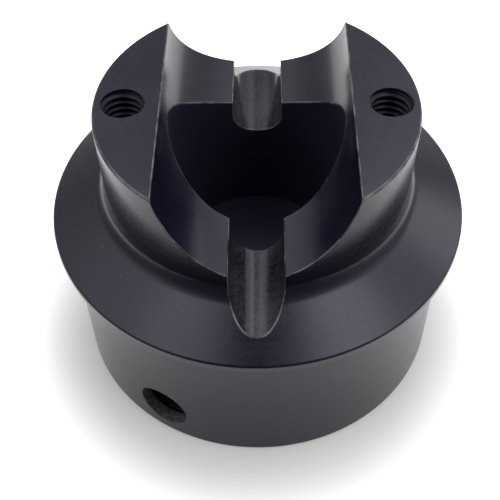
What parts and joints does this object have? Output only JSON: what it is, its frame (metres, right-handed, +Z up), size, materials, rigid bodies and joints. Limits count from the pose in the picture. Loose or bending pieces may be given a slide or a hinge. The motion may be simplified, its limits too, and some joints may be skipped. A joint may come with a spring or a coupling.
{
  "type": "tube saddle head",
  "caption": "Round flanged head with a half-round tube saddle between two tapped ears, over a skirted post socket locked by radial set screws.",
  "frame": {"origin": "centre of the skirt's bottom face, on the turned axis", "axes": "+Z up along the turned axis, X across the two ears, Y along the saddle and the groove under it"},
  "size_m": [0.0582, 0.0582, 0.0422],
  "materials": {
    "hub": "black anodised, satin",
    "set_screw": "black oxide"
  },
  "bodies": {
    "hub": {"saddle_hub": "hub"},
    "right_screw": {"set_screw_right": "set_screw"},
    "rear_left_screw": {"set_screw_rear_left": "set_screw"},
    "front_left_screw": {"set_screw_front_left": "set_screw"}
  },
  "joints": [
    {"name": "right_screw_travel", "type": "slide", "parent": "hub", "child": "right_screw", "axis": [-1, 0, 0], "range_m": [-0.0021, 0.004]},
    {"name": "rear_left_screw_travel", "type": "slide", "parent": "hub", "child": "rear_left_screw", "axis": [0.5, -0.866, 0], "range_m": [-0.0021, 0.004]},
    {"name": "front_left_screw_travel", "type": "slide", "parent": "hub", "child": "front_left_screw", "axis": [0.5, 0.866, 0], "range_m": [-0.0021, 0.004]}
  ]
}
